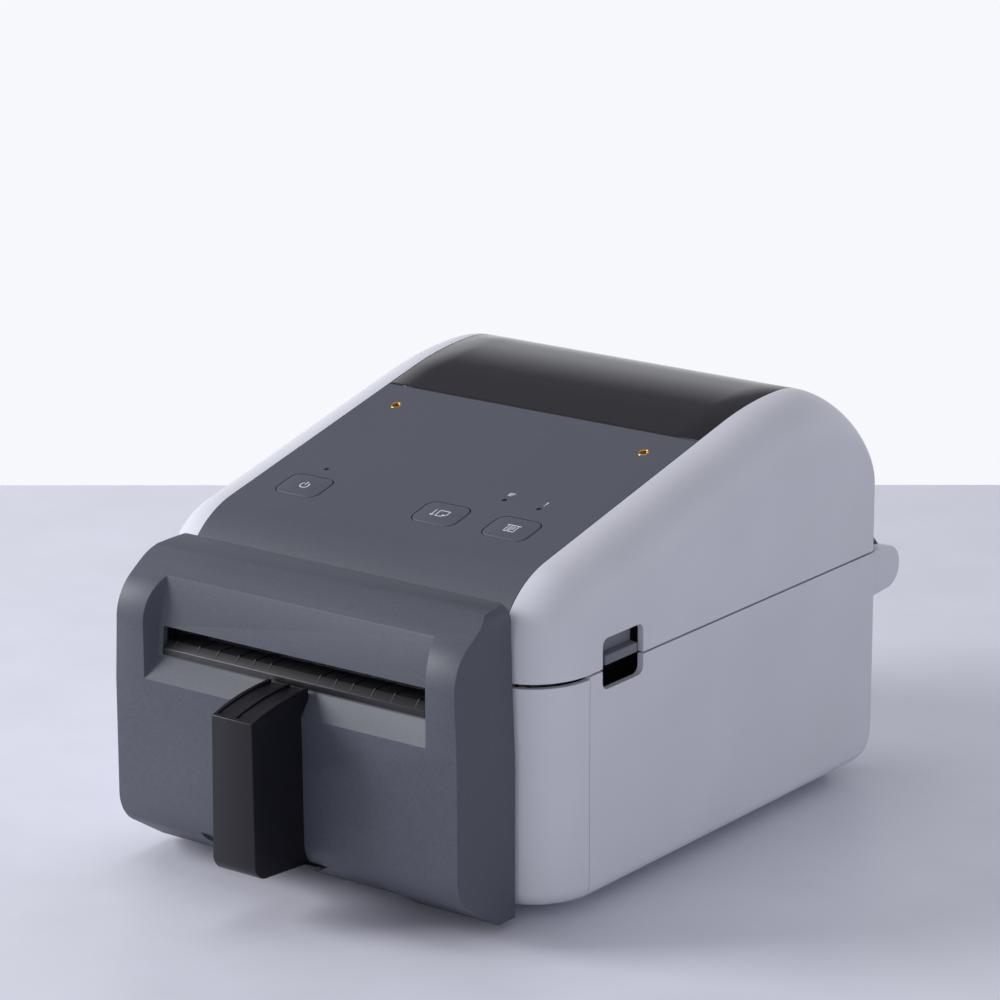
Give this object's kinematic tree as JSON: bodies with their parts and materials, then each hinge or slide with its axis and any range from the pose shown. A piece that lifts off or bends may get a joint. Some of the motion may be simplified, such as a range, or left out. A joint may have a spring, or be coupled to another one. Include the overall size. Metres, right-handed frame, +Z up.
{
  "type": "label printer",
  "caption": "Desktop label printer with a hinged rounded cover, smoked window, sloping control panel, front cutter unit with label slot, and a black support post in front.",
  "frame": {"origin": "centre of the footprint, on the table", "axes": "+X to the right as seen from the front, +Y to the rear, +Z up"},
  "size_m": [0.18, 0.2892, 0.155],
  "materials": {
    "pale_plastic": "fine matte texture",
    "dark_plastic": "fine matte texture",
    "black_plastic": "satin",
    "gloss_black": "gloss",
    "smoked_window": "polished smoked plastic",
    "gear_plastic": "satin",
    "steel": "satin",
    "aluminium": "satin",
    "brass": "satin",
    "board": "lacquered",
    "rubber": "matt"
  },
  "bodies": {
    "base": {"lower_case": "pale_plastic", "front_bezel": "pale_plastic", "roll_tray": "dark_plastic", "mechanism_frame": "steel", "platen_bushes": "brass", "feed_motor": "steel", "label_sensor": "black_plastic", "cover_sensor": "black_plastic", "main_board": "board", "dc_inlet": "black_plastic", "usb_port": "steel", "usb_host_port": "steel", "network_port": "steel", "hinge_pin_left": "steel", "hinge_pin_right": "steel", "case_screws": "steel", "foot_front_left": "rubber", "foot_front_right": "rubber", "foot_rear_left": "rubber", "foot_rear_right": "rubber", "cutter_cover": "dark_plastic", "cutter_frame": "steel", "fixed_blade": "steel", "exit_guide": "black_plastic", "cutter_motor": "steel", "cutter_screws": "steel", "post_housing": "gloss_black", "post_cap": "dark_plastic", "post_bracket": "gloss_black"},
    "cover": {"cover_shell": "pale_plastic", "cover_frame": "dark_plastic", "control_panel": "dark_plastic", "window": "smoked_window", "insert_left": "brass", "insert_right": "brass", "button_board": "board", "button_switches": "black_plastic", "led_lenses": "gear_plastic", "head_bracket": "steel", "head_springs": "steel", "latch_spring": "steel"},
    "head": {"print_head": "aluminium", "heat_sink": "aluminium"},
    "power_button": {"power_button": "dark_plastic"},
    "feed_button": {"feed_button": "dark_plastic"},
    "print_button": {"print_button": "dark_plastic"},
    "latch": {"latch_shaft": "steel", "latch_hooks": "steel", "latch_tab_left": "dark_plastic", "latch_tab_right": "dark_plastic"},
    "platen": {"platen_shaft": "steel", "platen_rubber": "rubber", "platen_gear": "gear_plastic"},
    "idler_gear": {"idler_gear": "gear_plastic"},
    "motor_pinion": {"motor_pinion": "brass"},
    "roll_guide_left": {"roll_guide_left": "dark_plastic"},
    "roll_guide_right": {"roll_guide_right": "dark_plastic"},
    "guide_pinion": {"guide_pinion": "pale_plastic"},
    "moving_blade": {"moving_blade": "steel"},
    "blade_pinion": {"blade_pinion": "brass"}
  },
  "joints": [
    {"name": "cover_hinge", "type": "hinge", "parent": "base", "child": "cover", "pos_m": [0, 0.13635, 0.078], "axis": [-1, 0, 0], "range_deg": [0, 95]},
    {"name": "head_float", "type": "slide", "parent": "cover", "child": "head", "axis": [0, 0, 1], "range_m": [0, 0.0015], "stiffness_N_per_m": 3000, "springref_m": -0.004, "deforming": ["head_springs"]},
    {"name": "power_button_press", "type": "slide", "parent": "cover", "child": "power_button", "axis": [0, 0.2334, -0.9724], "range_m": [0, 0.0008], "stiffness_N_per_m": 600, "springref_m": -0.001},
    {"name": "feed_button_press", "type": "slide", "parent": "cover", "child": "feed_button", "axis": [0, 0.2334, -0.9724], "range_m": [0, 0.0008], "stiffness_N_per_m": 600, "springref_m": -0.001},
    {"name": "print_button_press", "type": "slide", "parent": "cover", "child": "print_button", "axis": [0, 0.2334, -0.9724], "range_m": [0, 0.0008], "stiffness_N_per_m": 600, "springref_m": -0.001},
    {"name": "latch_turn", "type": "hinge", "parent": "cover", "child": "latch", "pos_m": [0, -0.05265, 0.106], "axis": [1, 0, 0], "range_deg": [0, 9], "stiffness_Nm_per_rad": 0.6, "springref_deg": -11.46},
    {"name": "platen_turn", "type": "hinge", "parent": "base", "child": "platen", "pos_m": [0, -0.06965, 0.0784], "axis": [1, 0, 0], "continuous": true},
    {"name": "idler_turn", "type": "hinge", "parent": "base", "child": "idler_gear", "pos_m": [-0.072, -0.04611, 0.06325], "axis": [1, 0, 0], "continuous": true},
    {"name": "motor_turn", "type": "hinge", "parent": "base", "child": "motor_pinion", "pos_m": [-0.072, -0.03965, 0.036], "axis": [1, 0, 0], "continuous": true},
    {"name": "left_guide_slide", "type": "slide", "parent": "base", "child": "roll_guide_left", "axis": [1, 0, 0], "range_m": [0, 0.036]},
    {"name": "right_guide_slide", "type": "slide", "parent": "base", "child": "roll_guide_right", "axis": [-1, 0, 0], "range_m": [0, 0.036]},
    {"name": "guide_pinion_turn", "type": "hinge", "parent": "base", "child": "guide_pinion", "pos_m": [0, 0.05035, 0.0138], "axis": [0, 0, 1], "range_deg": [0, 258]},
    {"name": "blade_slide", "type": "slide", "parent": "base", "child": "moving_blade", "axis": [0, 0, 1], "range_m": [0, 0.011]},
    {"name": "blade_pinion_turn", "type": "hinge", "parent": "base", "child": "blade_pinion", "pos_m": [0.023, -0.09605, 0.046], "axis": [0, -1, 0], "range_deg": [0, 91]}
  ],
  "couplings": [
    {"joint": "idler_turn", "follows": "platen_turn", "ratio": -0.4},
    {"joint": "motor_turn", "follows": "platen_turn", "ratio": 1},
    {"joint": "right_guide_slide", "follows": "left_guide_slide", "ratio": 1},
    {"joint": "guide_pinion_turn", "follows": "left_guide_slide", "rad_per_m": 125},
    {"joint": "blade_pinion_turn", "follows": "blade_slide", "rad_per_m": 142.86}
  ]
}
